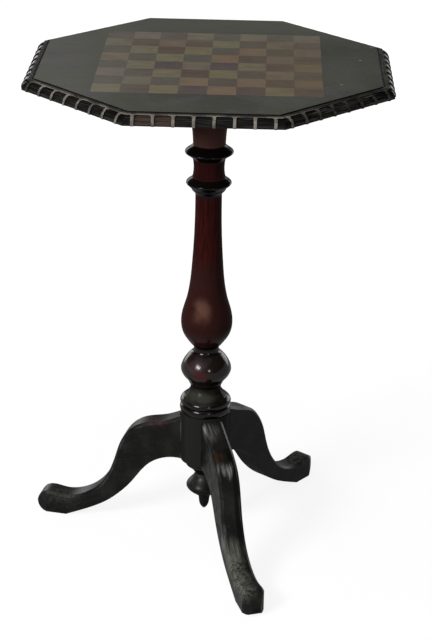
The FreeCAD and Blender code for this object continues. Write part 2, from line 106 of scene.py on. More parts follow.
# the shader and its output, with height in millimetres for the bump
def finishMaterial(tree, sockets, height=None, depth=0.1):
    if height is not None:
        bump = addNode(tree, "Bump", {"Height": height, "Distance": depth * mm, "Strength": 1.0})
        sockets = {**sockets, "Normal": bump}
    shader = addNode(tree, "BsdfPrincipled", sockets)
    addNode(tree, "OutputMaterial", {"Surface": shader})


def paint(material, *names):
    for name in names:
        mesh = nodes[name].data
        mesh.materials.clear()
        mesh.materials.append(material)


# Stage: a white studio, two windows in front of the table and two pale walls behind it
stageSpec = {
    "floor": "#666666",
    "floorRough": 0.9,
    "glowNear": (0.4, 0.87),  # metres from the column, and what the floor adds there to look white
    "glowFar": (2.4, 0.97),
    "floorHalf": 12.0,        # metres
    "backdrop": 3.2,          # metres high, all round, so that low views have no dark horizon
    "worldLevel": 0.07,
    "skyLevel": 0.76,         # soft light from above, watts per square metre
    "skyAngle": 75,           # degrees across
    "skyTilt": (14, -12),     # degrees about X and Y
    "lampDistance": 3.0,      # metres from the column
    "aimHeight": 0.35,
    "lamps": {
        "windowLeft": {"azimuth": -41, "elevation": 30, "wide": 1.0, "high": 0.6, "watts": 92},
        "windowRight": {"azimuth": 18, "elevation": 22, "wide": 0.3, "high": 0.3, "watts": 11},
        "wallLeft": {"azimuth": -145, "elevation": 8, "wide": 1.6, "high": 1.2, "watts": 36},
        "wallRight": {"azimuth": 140, "elevation": 8, "wide": 1.6, "high": 1.2, "watts": 36},
    },
}

floorMesh = bpy.data.meshes.new("floor")
half = stageSpec["floorHalf"]
corners = [(-half, -half), (half, -half), (half, half), (-half, half)]
floorPoints = [(x, y, z) for z in (0.0, stageSpec["backdrop"]) for x, y in corners]
floorFaces = [(0, 1, 2, 3)] + [(i, i + 4, (i + 1) % 4 + 4, (i + 1) % 4) for i in range(4)]
floorMesh.from_pydata(floorPoints, [], floorFaces)
floor = bpy.data.objects.new("floor", floorMesh)
bpy.context.scene.collection.objects.link(floor)

# Studio floor and backdrop: matt paint that takes the shadow, lifted to white for the eye
# and in reflections
floorPaint, tree, place = newMaterial("mattPaintRolled")
ray = addNode(tree, "LightPath")
seen = addNode(tree, "Math", {0: ray.outputs["Is Camera Ray"], 1: ray.outputs["Is Glossy Ray"]},
               operation="MAXIMUM")
seen = addNode(tree, "Math", {0: seen, 1: ray.outputs["Is Transmission Ray"]}, operation="MAXIMUM")
away = addNode(tree, "VectorMath", {0: place}, operation="LENGTH").outputs["Value"]
near, far = stageSpec["glowNear"], stageSpec["glowFar"]
lift = addNode(tree, "MapRange", {"Value": away, "From Min": near[0], "From Max": far[0],
                                  "To Min": near[1], "To Max": far[1]})
glow = addNode(tree, "Math", {0: seen, 1: lift}, operation="MULTIPLY")
finishMaterial(tree, {"Base Color": toLinear(stageSpec["floor"]), "Roughness": stageSpec["floorRough"],
                      "Specular IOR Level": 0.0, "Emission Color": toLinear("#ffffff"),
                      "Emission Strength": glow})
floorMesh.materials.append(floorPaint)

world = bpy.data.worlds.new("studio")
world.use_nodes = True
world.node_tree.nodes.clear()
sky = addNode(world.node_tree, "Background",
              {"Color": toLinear("#ffffff"), "Strength": stageSpec["worldLevel"]})
addNode(world.node_tree, "OutputWorld", {"Surface": sky})
bpy.context.scene.world = world

overhead = bpy.data.lights.new("overhead", "SUN")
overhead.energy = stageSpec["skyLevel"]
overhead.angle = math.radians(stageSpec["skyAngle"])
overheadLamp = bpy.data.objects.new("overhead", overhead)
overheadLamp.rotation_euler = (*[math.radians(tilt) for tilt in stageSpec["skyTilt"]], 0)
bpy.context.scene.collection.objects.link(overheadLamp)

for name, spec in stageSpec["lamps"].items():
    turn = math.radians(spec["azimuth"])
    rise = math.radians(spec["elevation"])
    way = Vector((math.sin(turn) * math.cos(rise), -math.cos(turn) * math.cos(rise), math.sin(rise)))
    lamp = bpy.data.lights.new(name, "AREA")
    lamp.shape = "RECTANGLE"
    lamp.size = spec["wide"]
    lamp.size_y = spec["high"]
    lamp.energy = spec["watts"]
    holder = bpy.data.objects.new(name, lamp)
    holder.location = Vector((0, 0, stageSpec["aimHeight"])) + way * stageSpec["lampDistance"]
    holder.rotation_euler = way.to_track_quat("Z", "Y").to_euler()
    bpy.context.scene.collection.objects.link(holder)

bpy.context.scene.view_settings.view_transform = "Standard"

# Camera, as fitted to the photo
cameraSpec = {
    "at": (77.5, -2536.4, 1446.7),  # millimetres
    "yaw": -1.447,                  # degrees from +Y towards +X
    "pitch": 23.48,                 # degrees down
    "roll": 0.997,
    "lens": 107.02,
    "sensor": 36.0,
}
camera = bpy.data.cameras.new("photoView")
camera.lens = cameraSpec["lens"]
camera.sensor_width = cameraSpec["sensor"]
cameraObject = bpy.data.objects.new("photoView", camera)
heading = Matrix.Rotation(-math.radians(cameraSpec["yaw"]), 4, "Z")
tip = Matrix.Rotation(math.radians(90 - cameraSpec["pitch"]), 4, "X")
lean = Matrix.Rotation(math.radians(cameraSpec["roll"]), 4, "Z")
cameraObject.matrix_world = Matrix.Translation(Vector(cameraSpec["at"]) * mm) @ heading @ tip @ lean
bpy.context.scene.collection.objects.link(cameraObject)
bpy.context.scene.camera = cameraObject
print("stage, lamps and camera ready")


# Top board: stained black once, now rubbed to a hazy grey-green with long faint grain
# and a few wax spots; a painted sheen makes it lighter towards the back
fieldSpec = {
    "wood": "#393a33",
    "grain": "#474841",
    # painted sheen: the top lighter towards the back, where light grazes the polish; also a tone for random
    # clouds
    "left": "#565550",
    "back": "#54554c",
    "rubbed": "#6a675d",
    "wax": "#8a8a80",
    "haze": "#494a4c",          # old polish gone blue in patches
    "side": "#0b0a0a",          # edge of the board in the groove
    "under": "#3a2a1e",         # unpolished underside
    "grainWidth": 2.4,
    "grainLength": 190.0,
    "grainDepth": 0.06,
    "cloud": 130.0,
    "hazeSize": 45.0,
    "dustSize": 3.0,            # real dust is finer, drawn wide enough to show
    "scratchWidth": 1.2,        # so are the scratches
    "scratchLength": 60.0,
    "scratchTurn": 28,          # degrees from the grain
    "waxEvery": 34.0,
    "waxSize": 2.2,
    "leftFade": (-0.06, -0.2),  # metres from the middle, start and full
    "backSheenFade": (0.08, 0.2),
    "waxFade": (0.1, 0.17),
    "sideDrop": (0.1, 0.3),     # below the face, start and full
    "underSkin": 1.0,
    "rough": (0.5, 0.68),
    "specular": 0.12,
}


def makeField():
    low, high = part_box("top_board")
    material, tree, place = newMaterial("ebonisedWoodRubbed")
    grain = fibres(tree, place, 0, fieldSpec["grainWidth"], fieldSpec["grainLength"])
    cloud = addNode(tree, "TexNoise", {"Vector": place, "Scale": perMm(fieldSpec["cloud"]), "Detail": 3.0})
    haze = addNode(tree, "TexNoise", {"Vector": place, "Scale": perMm(fieldSpec["hazeSize"]), "Detail": 2.0})
    dust = addNode(tree, "TexNoise", {"Vector": place, "Scale": perMm(fieldSpec["dustSize"]), "Detail": 4.0})
    aslant = math.radians(fieldSpec["scratchTurn"])
    turned = addNode(tree, "Mapping", {"Vector": place, "Rotation": (0, 0, aslant)})
    scratch = fibres(tree, turned, 0, fieldSpec["scratchWidth"], fieldSpec["scratchLength"], 2.0)
    drops = addNode(tree, "TexVoronoi", {"Vector": place, "Scale": perMm(fieldSpec["waxEvery"])})
    at = addNode(tree, "SeparateXYZ", {"Vector": place})
    wood = layer(tree, fieldSpec["wood"], fieldSpec["left"], at.outputs["X"], *fieldSpec["leftFade"])
    # painted sheen, lighter towards the back
    wood = layer(tree, wood, fieldSpec["back"], at.outputs["Y"], *fieldSpec["backSheenFade"], 0.8)
    wood = layer(tree, wood, fieldSpec["back"], cloud.outputs["Fac"], 0.45, 0.7, 0.5)
    wood = layer(tree, wood, fieldSpec["grain"], grain.outputs["Fac"], 0.42, 0.72, 0.8)
    wood = layer(tree, wood, fieldSpec["haze"], haze.outputs["Fac"], 0.5, 0.68, 0.45)
    wood = layer(tree, wood, fieldSpec["rubbed"], dust.outputs["Fac"], 0.52, 0.74, 0.3)
    wood = layer(tree, wood, fieldSpec["rubbed"], scratch.outputs["Fac"], 0.68, 0.8, 0.2)
    waxFrom, waxFull = fieldSpec["waxFade"]
    waxed = addNode(tree, "MapRange", {"Value": at.outputs["X"], "From Min": waxFrom, "From Max": waxFull})
    near = fieldSpec["waxSize"] / fieldSpec["waxEvery"]
    inDrop = band(tree, drops.outputs["Distance"], -1.0, near, near * 0.5)  # no limit on the near side
    waxed = addNode(tree, "Math", {0: waxed, 1: inDrop}, operation="MULTIPLY")
    wood = layer(tree, wood, fieldSpec["wax"], waxed, most=0.6)
    sideFrom, sideFull = [high.z - drop * mm for drop in fieldSpec["sideDrop"]]
    wood = layer(tree, wood, fieldSpec["side"], at.outputs["Z"], sideFrom, sideFull)
    underFrom = low.z + fieldSpec["underSkin"] * mm
    wood = layer(tree, wood, fieldSpec["under"], at.outputs["Z"], underFrom, low.z)
    rough = addNode(tree, "MapRange", {"Value": cloud.outputs["Fac"], "To Min": fieldSpec["rough"][0],
                                       "To Max": fieldSpec["rough"][1]})
    finishMaterial(tree, {"Base Color": wood, "Roughness": rough,
                          "Specular IOR Level": fieldSpec["specular"]},
                   grain.outputs["Fac"], fieldSpec["grainDepth"])
    return material


paint(makeField(), "top_board")


# Veneer squares: each cut from its own leaf, so hue and depth change from one to the next;
# the polish has gone milky at the back and left, brown at the right, and is stained in patches
boardSpec = {
    "perSide": 8,
    "grainWidth": 2.0,             # real pores are finer, drawn wide enough to show
    "grainLength": 45.0,
    "grainDepth": 0.05,
    "figureWidth": 8.0,
    "figureLength": 60.0,
    "stain": 30.0,
    "dustSize": 3.0,               # as on the field
    "dust": "#6d695e",
    "stainRed": "#5a453c",
    "stainGreen": "#555b46",
    "milkyBack": (0.05, 0.15),     # metres from the middle, start and full
    "milkyLeft": (-0.06, -0.15),
    "brownRight": (0.02, 0.12),
    "rough": (0.46, 0.6),
    "specular": 0.12,
    "light": {
        "seed": 3.0,               # picks the leaf that each square is cut from
        "first": "#706c50",
        "second": "#735f4b",
        "third": "#675a53",
        "milky": "#6f6b61",
        "brown": "#695a45",
        "line": "#5a4f40",
    },
    "dark": {
        "seed": 11.0,
        "first": "#514546",
        "second": "#56493b",
        "third": "#524f47",
        "milky": "#635f57",
        "brown": "#5d4e3d",
        "line": "#443b37",
    },
}


def makeSquares(name, tones):
    seed = tones["seed"]
    low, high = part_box("dark_squares")
    size = (high.x - low.x) / boardSpec["perSide"]
    material, tree, place = newMaterial(name)
    cell = addNode(tree, "VectorMath", {0: place, 1: (low.x, low.y, 0)}, operation="SUBTRACT")
    cell = addNode(tree, "VectorMath", {0: cell, 1: (size, size, 1)}, operation="DIVIDE")
    whole = addNode(tree, "VectorMath", {0: cell}, operation="FLOOR")
    shifted = addNode(tree, "VectorMath", {0: whole, 1: (seed, seed * 2, seed)}, operation="ADD")
    chance = addNode(tree, "TexWhiteNoise", {"Vector": shifted})
    lot = addNode(tree, "SeparateColor", {"Color": chance.outputs["Color"]})
    grain = fibres(tree, place, 0, boardSpec["grainWidth"], boardSpec["grainLength"])
    figure = fibres(tree, place, 0, boardSpec["figureWidth"], boardSpec["figureLength"], 2.0)
    stain = addNode(tree, "TexNoise", {"Vector": place, "Scale": perMm(boardSpec["stain"]), "Detail": 2.0})
    dust = addNode(tree, "TexNoise", {"Vector": place, "Scale": perMm(boardSpec["dustSize"]), "Detail": 4.0})
    at = addNode(tree, "SeparateXYZ", {"Vector": place})
    wood = layer(tree, tones["first"], tones["second"], lot.outputs["Red"], 0.2, 0.8)
    wood = layer(tree, wood, tones["third"], lot.outputs["Blue"], 0.55, 0.9)
    wood = layer(tree, wood, tones["brown"], at.outputs["X"], *boardSpec["brownRight"], 0.7)
    wood = layer(tree, wood, tones["milky"], at.outputs["Y"], *boardSpec["milkyBack"], 0.75)
    wood = layer(tree, wood, tones["milky"], at.outputs["X"], *boardSpec["milkyLeft"], 0.7)
    wood = layer(tree, wood, tones["milky"], lot.outputs["Green"], 0.55, 1.0, 0.35)
    wood = layer(tree, wood, boardSpec["stainRed"], stain.outputs["Fac"], 0.5, 0.66, 0.32)
    wood = layer(tree, wood, boardSpec["stainGreen"], stain.outputs["Fac"], 0.46, 0.34, 0.32)
    wood = layer(tree, wood, tones["line"], figure.outputs["Fac"], 0.48, 0.7, 0.45)
    wood = layer(tree, wood, tones["line"], grain.outputs["Fac"], 0.4, 0.72, 0.35)
    wood = layer(tree, wood, boardSpec["dust"], dust.outputs["Fac"], 0.5, 0.74, 0.3)
    rough = addNode(tree, "MapRange", {"Value": lot.outputs["Green"], "To Min": boardSpec["rough"][0],
                                       "To Max": boardSpec["rough"][1]})
    finishMaterial(tree, {"Base Color": wood, "Roughness": rough,
                          "Specular IOR Level": boardSpec["specular"]},
                   grain.outputs["Fac"], boardSpec["grainDepth"])
    return material


paint(makeSquares("satinwoodVeneerPolished", boardSpec["light"]), "light_squares")
paint(makeSquares("rosewoodVeneerPolished", boardSpec["dark"]), "dark_squares")
print("top and board finished")


# Carved edge: blackened wood, the scooped panels still dark, ridges and the thin listel rubbed pale, the
# groove floor painted lighter against its shade
edgeSpec = {
    "black": "#070707",
    "streak": "#2a2927",
    "brown": "#3a2f29",
    "worn": "#777168",
    "wornDull": "#464440",
    "listelTone": "#4b4842",
    "listelDark": "#2f2d2a",
    # groove floor painted lighter than the black wood, lifting the shade in the groove
    "groove": "#262521",
    "hatch": "#4a4844",
    "under": "#2a1e16",
    "listel": 3.0,
    "stepDown": 0.6,          # from the listel to the round
    "round": 12.4,            # radius of the carved round
    "gougeWidth": 1.4,        # gouge marks, drawn twice as wide as real ones to show
    "gougeLength": 40.0,
    "gougeDepth": 0.15,
    "patch": 22.0,
    "speck": 2.6,
    "grooveSoft": 0.4,
    "wornSkin": (0.8, 0.1),   # below the round's surface, where wear starts and is full
    "ridgeFoot": (0.2, 1.2),  # out from the listel, likewise
    "listelInset": 1.0,
    "listelOver": 0.6,
    "listelSoft": 0.5,
    "underSkin": 0.6,
    "rough": (0.4, 0.6),      # black wood and worn ridges
    "specular": 0.06,
    # metres to the right, start and full, and the share of wear that is left there
    "hatchFade": (0.1, 0.14),
    "dullRight": {"from": 0.10, "to": 0.15, "left": 0.28},
    "dullLeft": {"from": -0.222, "to": -0.238, "left": 0.25},
    "brownPanels": {
        "first": {"at": (-76, -247, 721), "size": (20, 20, 20)},
        "second": {"at": (-50, -247, 721), "size": (20, 20, 20)},
    },
}


def makeEdge():
    low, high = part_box("edge_front")
    radius = edgeSpec["round"] * mm
    roundAt = -low.y - radius
    roundHigh = high.z - edgeSpec["stepDown"] * mm - radius
    grooveEnd = roundAt - edgeSpec["listel"] * mm
    material, tree, place = newMaterial("carvedWoodBlackened")
    at = addNode(tree, "SeparateXYZ", {"Vector": place})
    angle = addNode(tree, "Math", {0: at.outputs["Y"], 1: at.outputs["X"]}, operation="ARCTAN2")
    eighth = addNode(tree, "Math", {0: angle, 1: 4 / math.pi}, operation="MULTIPLY")
    eighth = addNode(tree, "Math", {0: eighth}, operation="ROUND")
    facing = addNode(tree, "Math", {0: eighth, 1: math.pi / 4}, operation="MULTIPLY")
    swung = addNode(tree, "VectorRotate", {"Vector": place, "Angle": facing},
                    rotation_type="Z_AXIS", invert=True)
    side = addNode(tree, "SeparateXYZ", {"Vector": swung})  # X outwards, Y along the side
    out = addNode(tree, "Math", {0: side.outputs["X"], 1: roundAt}, operation="SUBTRACT")
    up = addNode(tree, "Math", {0: side.outputs["Z"], 1: roundHigh}, operation="SUBTRACT")
    up = addNode(tree, "Math", {0: up, 1: 0.0}, operation="MAXIMUM")
    fromRound = addNode(tree, "CombineXYZ", {"X": out, "Y": up})
    reach = addNode(tree, "VectorMath", {0: fromRound}, operation="LENGTH").outputs["Value"]
    gouge = fibres(tree, swung, 1, edgeSpec["gougeWidth"], edgeSpec["gougeLength"])
    patch = addNode(tree, "TexNoise", {"Vector": place, "Scale": perMm(edgeSpec["patch"]), "Detail": 4.0})
    speck = addNode(tree, "TexNoise", {"Vector": place, "Scale": perMm(edgeSpec["speck"]), "Detail": 3.0})
    wood = layer(tree, edgeSpec["black"], edgeSpec["streak"], gouge.outputs["Fac"], 0.46, 0.7)
    for panel in edgeSpec["brownPanels"].values():
        wood = layer(tree, wood, edgeSpec["brown"], spot(tree, place, panel, gouge), 0.0, 0.8)
    toRight = addNode(tree, "MapRange", {"Value": at.outputs["X"], "From Min": edgeSpec["hatchFade"][0],
                                         "From Max": edgeSpec["hatchFade"][1]})
    lines = addNode(tree, "MapRange", {"Value": gouge.outputs["Fac"], "From Min": 0.52, "From Max": 0.62})
    hatched = addNode(tree, "Math", {0: toRight, 1: lines}, operation="MULTIPLY")
    wood = layer(tree, wood, edgeSpec["hatch"], hatched, most=0.7)
    # painted light: the groove floor is lifted against the shade that falls in it
    soft = edgeSpec["grooveSoft"] * mm
    inGroove = addNode(tree, "MapRange", {"Value": side.outputs["X"], "From Min": grooveEnd + soft,
                                          "From Max": grooveEnd - soft})
    wood = layer(tree, wood, edgeSpec["groove"], inGroove)
    wornFrom, wornFull = [radius - depth * mm for depth in edgeSpec["wornSkin"]]
    proud = addNode(tree, "MapRange", {"Value": reach, "From Min": wornFrom, "From Max": wornFull})
    footFrom, footFull = [away * mm for away in edgeSpec["ridgeFoot"]]
    carved = addNode(tree, "MapRange", {"Value": out, "From Min": footFrom, "From Max": footFull})
    wear = addNode(tree, "Math", {0: proud, 1: carved}, operation="MULTIPLY")
    kept = 1.0
    for part in (edgeSpec["dullRight"], edgeSpec["dullLeft"]):
        dull = addNode(tree, "MapRange", {"Value": at.outputs["X"], "From Min": part["from"],
                                          "From Max": part["to"], "To Min": 1.0, "To Max": part["left"]})
        kept = addNode(tree, "Math", {0: dull, 1: kept}, operation="MULTIPLY")
    wear = addNode(tree, "Math", {0: wear, 1: kept}, operation="MULTIPLY")
    pale = layer(tree, edgeSpec["wornDull"], edgeSpec["worn"], patch.outputs["Fac"], 0.35, 0.6)
    rubbed = addNode(tree, "MapRange", {"Value": speck.outputs["Fac"], "From Min": 0.22, "From Max": 0.5})
    ridge = addNode(tree, "Math", {0: wear, 1: rubbed}, operation="MULTIPLY")
    wood = layer(tree, wood, pale, ridge)
    listelFrom = grooveEnd + edgeSpec["listelInset"] * mm
    listelTo = roundAt + edgeSpec["listelOver"] * mm
    onListel = band(tree, side.outputs["X"], listelFrom, listelTo, edgeSpec["listelSoft"] * mm)
    listel = layer(tree, edgeSpec["listelDark"], edgeSpec["listelTone"], patch.outputs["Fac"], 0.4, 0.6)
    onListel = addNode(tree, "Math", {0: onListel, 1: kept}, operation="MULTIPLY")
    wood = layer(tree, wood, listel, onListel, 0.0, 0.7, 0.9)
    underFrom = low.z + edgeSpec["underSkin"] * mm
    wood = layer(tree, wood, edgeSpec["under"], at.outputs["Z"], underFrom, low.z)
    rough = addNode(tree, "MapRange", {"Value": ridge, "To Min": edgeSpec["rough"][0],
                                       "To Max": edgeSpec["rough"][1]})
    finishMaterial(tree, {"Base Color": wood, "Roughness": rough,
                          "Specular IOR Level": edgeSpec["specular"]},
                   gouge.outputs["Fac"], edgeSpec["gougeDepth"])
    return material


edgeNames = [name for name in nodes if name.startswith("edge_")]
paint(makeEdge(), *edgeNames)
print("carved edge finished:", len(edgeNames), "lengths")


# Column: mahogany turned and French polished to a deep red, with rings and beads blacked and the ball
# nearly so; the polish is bright on ball and beads, satin on the rings, and worn thin on the shaft
columnSpec = {
    "red": "#360e0b",
    "deep": "#160606",
    "brown": "#2a1614",
    "underTopLift": "#553a34",       # painted light under the top, lifting the shade that the top casts
    "black": "#080707",
    "dull": "#20201f",        # the hub, as blackened as the legs
    "ballTone": "#191210",
    # red mahogany showing through the black, painted as a lit patch below the highlight
    "glow": "#39040c",
    # painted highlight halo round the ball's highlight
    "highlightHalo": "#3d2d31",
    # dust on the shoulder, with a painted sheen
    "dust": "#31322c",
    # painted sheen on the vase's belly
    "rubbed": "#604339",
    "grainWidth": 1.6,
    "grainLength": 120.0,
    "grainDepth": 0.03,
    "cloud": 35.0,
    "hubTop": 200.0,          # heights above the floor
    "neckTop": 246.0,
    "vaseTop": 440.0,
    "vaseSoft": 20.0,
    "flareFoot": 613.0,
    "collar": (565.0, 591.5),
    "blacked": {              # from, to, and how softly it gives way to the next zone
        "beads": (150.0, 246.0, 1.5),
        "waist": (294.0, 309.0, 1.5),
        "lowerRing": (538.0, 565.0, 1.5),
        "upperRing": (591.5, 613.0, 1.5),
    },
    "bright": {
        "beads": (200.0, 225.0, 1.5),
        "ball": (246.0, 302.0, 3.0),
        "lowerVase": (304.0, 322.0, 18.0),
    },
    "satin": {
        "lowerRing": (538.0, 565.0, 1.5),
        "upperRing": (591.5, 613.0, 1.5),
    },
    "soft": 1.5,
    "rough": (0.45, 0.6),     # column and hub
    "coat": (0.05, 0.32),     # worn thin, still bright
    "coatRough": 0.16,
    "satinShare": 0.4,        # of the bright polish
    "ball": (246.0, 294.0),
    "ballGlow": {"at": (-8, -36, 269), "size": (17, 24, 9)},
    "ballHighlightHalo": {"at": (-14, -33, 281), "size": (22, 24, 14)},
    "shoulderDustAndSheen": {"at": (-4, -8, 230), "size": (60, 60, 17)},
    "vaseSheen": {"at": (-9, -35, 371), "size": (24, 24, 28)},
}


def makeColumn():
    material, tree, place = newMaterial("mahoganyTurnedPolished")
    high = addNode(tree, "SeparateXYZ", {"Vector": place}).outputs["Z"]
    soft = columnSpec["soft"] * mm
    zones = {"blacked": 0.0, "bright": 0.0, "satin": 0.0}
    for zone in zones:
        for first, last, margin in columnSpec[zone].values():
            ring = band(tree, high, first * mm, last * mm, margin * mm)
            zones[zone] = addNode(tree, "Math", {0: zones[zone], 1: ring}, operation="MAXIMUM")
    grain = fibres(tree, place, 2, columnSpec["grainWidth"], columnSpec["grainLength"])
    cloud = addNode(tree, "TexNoise", {"Vector": place, "Scale": perMm(columnSpec["cloud"]), "Detail": 3.0})
    wood = layer(tree, columnSpec["red"], columnSpec["deep"], grain.outputs["Fac"], 0.35, 0.7)
    wood = layer(tree, wood, columnSpec["deep"], cloud.outputs["Fac"], 0.45, 0.7, 0.5)
    belly = band(tree, high, columnSpec["neckTop"] * mm, columnSpec["vaseTop"] * mm,
                 columnSpec["vaseSoft"] * mm)
    wood = layer(tree, wood, columnSpec["brown"], belly, most=0.7)
    # the neck between the rings painted darker
    collar = band(tree, high, columnSpec["collar"][0] * mm, columnSpec["collar"][1] * mm, soft)
    wood = layer(tree, wood, columnSpec["deep"], collar, most=0.35)
    # painted light under the top, against the top's shade
    flare = columnSpec["flareFoot"] * mm
    wood = layer(tree, wood, columnSpec["underTopLift"], high, flare - soft, flare + soft, 0.75)
    # painted sheen on the vase's belly
    paleZone = spot(tree, place, columnSpec["vaseSheen"], cloud)
    wood = layer(tree, wood, columnSpec["rubbed"], paleZone, most=0.7)
    wood = layer(tree, wood, columnSpec["black"], zones["blacked"], most=0.95)
    ball = band(tree, high, columnSpec["ball"][0] * mm, columnSpec["ball"][1] * mm, soft)
    wood = layer(tree, wood, columnSpec["ballTone"], ball)
    # painted highlight halo on the ball
    wood = layer(tree, wood, columnSpec["highlightHalo"], spot(tree, place, columnSpec["ballHighlightHalo"]), most=0.7)
    # red mahogany through the black, painted as a lit patch below the highlight
    wood = layer(tree, wood, columnSpec["glow"], spot(tree, place, columnSpec["ballGlow"]), most=0.9)
    # dust with a painted sheen on the shoulder
    wood = layer(tree, wood, columnSpec["dust"], spot(tree, place, columnSpec["shoulderDustAndSheen"], cloud))
    hubTop = columnSpec["hubTop"] * mm
    hub = addNode(tree, "MapRange", {"Value": high, "From Min": hubTop + soft, "From Max": hubTop - soft})
    wood = layer(tree, wood, columnSpec["dull"], hub)
    rough = addNode(tree, "MapRange", {"Value": hub, "To Min": columnSpec["rough"][0],
                                       "To Max": columnSpec["rough"][1]})
    satin = addNode(tree, "Math", {0: zones["satin"], 1: columnSpec["satinShare"]}, operation="MULTIPLY")
    polish = addNode(tree, "Math", {0: zones["bright"], 1: satin}, operation="MAXIMUM")
    coat = addNode(tree, "MapRange", {"Value": polish, "To Min": columnSpec["coat"][0],
                                      "To Max": columnSpec["coat"][1]})
    finishMaterial(tree, {"Base Color": wood, "Roughness": rough, "Specular IOR Level": 0.0,
                          "Coat Weight": coat, "Coat Roughness": columnSpec["coatRough"]},
                   grain.outputs["Fac"], columnSpec["grainDepth"])
    return material


paint(makeColumn(), "column")


# Legs and drop: sawn wood blackened and gone dull, brown where the black has rubbed through,
# edges partly worn pale, painted highlights on the front leg, painted sheen on faces turned to the light,
# dusty low down
legSpec = {
    "black": "#0d0d0c",
    "grey": "#1f1e1d",
    "brown": "#30221a",
    "russet": "#3a2524",
    "dust": "#5d5e56",
    "sheen": "#585856",
    # painted highlight grey
    "pale": "#757573",
    "haze": "#373736",        # painted sheen on the front leg's left face, where the left light falls; also on the drop's left side
    # pale edges: wear, with a painted highlight along them
    "edgeWearAndHighlight": "#6e6e6c",
    "scuff": "#343432",
    "under": "#191918",       # undersides, never polished
    "rough": (0.4, 0.6),
    "coat": (0.07, 0.22),     # on undersides and elsewhere
    "coatRough": 0.34,
    "cloud": 28.0,
    "mottle": 11.0,
    "scuffSize": 5.0,
    "grainWidth": 2.0,
    "grainLength": 90.0,
    "grainDepth": 0.08,
    "grainFall": 25,          # degrees that the plank's grain runs down towards the foot
    "grainTurn": 0.1,         # metres from the axis at which the grain keeps its width all round
    "bevel": 2.0,             # width of the pale edges: worn, with a painted highlight along them
    "paleEdgeHeights": (48.0, 185.0),
    "paleEdgeSoft": 6.0,
    # where each of these looks starts and where it is full
    "bevelTurn": (0.995, 0.94),  # cosine between the rounded normal and the flat one
    "leftward": (-0.8, -0.92),   # X of the normal, for the painted sheen on faces turned to the left light
    "downward": (-0.1, -0.4),    # Z of the normal, for the underside
    "coatTurn": (-0.15, 0.1),    # Z of the normal, for the coat
    "forward": (-0.045, -0.08),  # metres along Y, for the front leg alone
    "marks": {                # broken up by a noise: streaks that run with the leg, or scuffs
        "streak": {
            "frontKnee": {"at": (23, -97, 168), "size": (15, 19, 17), "tone": "brown", "most": 0.9},
            "rootTop": {"at": (9, -56, 189), "size": (18, 28, 18), "tone": "sheen", "most": 1.0},
            # dust with a painted sheen on the shin
            "shinHigh": {"at": (47, -162, 52), "size": (19, 26, 28), "tone": "dust", "most": 1.0},
        },
        "scuff": {
            "leftKnee": {"at": (-76, 3, 177), "size": (28, 20, 14), "tone": "russet", "most": 0.9},
            # shin, shinLow and toe: dust with a painted sheen
            "shin": {"at": (47, -178, 42), "size": (24, 28, 26), "tone": "dust", "most": 0.95},
            "shinLow": {"at": (56, -204, 33), "size": (26, 30, 26), "tone": "dust", "most": 0.95},
            "toe": {"at": (66, -232, 33), "size": (24, 28, 22), "tone": "dust", "most": 0.85},
            "leftFoot": {"at": (-222, 36, 32), "size": (50, 36, 28), "tone": "sheen", "most": 0.25},
            "rightFoot": {"at": (138, 172, 40), "size": (44, 44, 24), "tone": "sheen", "most": 0.7},
            # painted sheen on the drop's left side, turned to the light
            "drop": {"at": (-6, -14, 100), "size": (30, 26, 34), "tone": "haze", "most": 0.65},
        },
    },
    # painted highlights on the front leg's root corner, knee and shin edge
    "highlightSpots": {
        "rootCorner": {"at": (2, -47, 191), "size": (6, 16, 14), "most": 0.9},
        "kneeLeft": {"at": (30, -110, 158), "size": (15, 13, 15), "most": 0.7},
        "kneeRight": {"at": (40, -109, 155), "size": (6, 15, 20), "most": 1.0},
        "shinEdge": {"at": (33, -149, 61), "size": (7, 20, 32), "most": 0.8},
    },
    "bearing": 288.5,         # degrees from +X of the front leg, which the streaks follow
    "shaded": {               # right-hand third of the front leg's front, turned from the light
        "across": (3.5, 6.0),
        "heights": (62.0, 172.0),
        "soft": 10.0,
        "tone": "#060606",
        "most": 0.85,
        "coat": 0.6,          # share of the polish that is left there
    },
    "streakWidth": 4.0,
    "streakLength": 40.0,
}


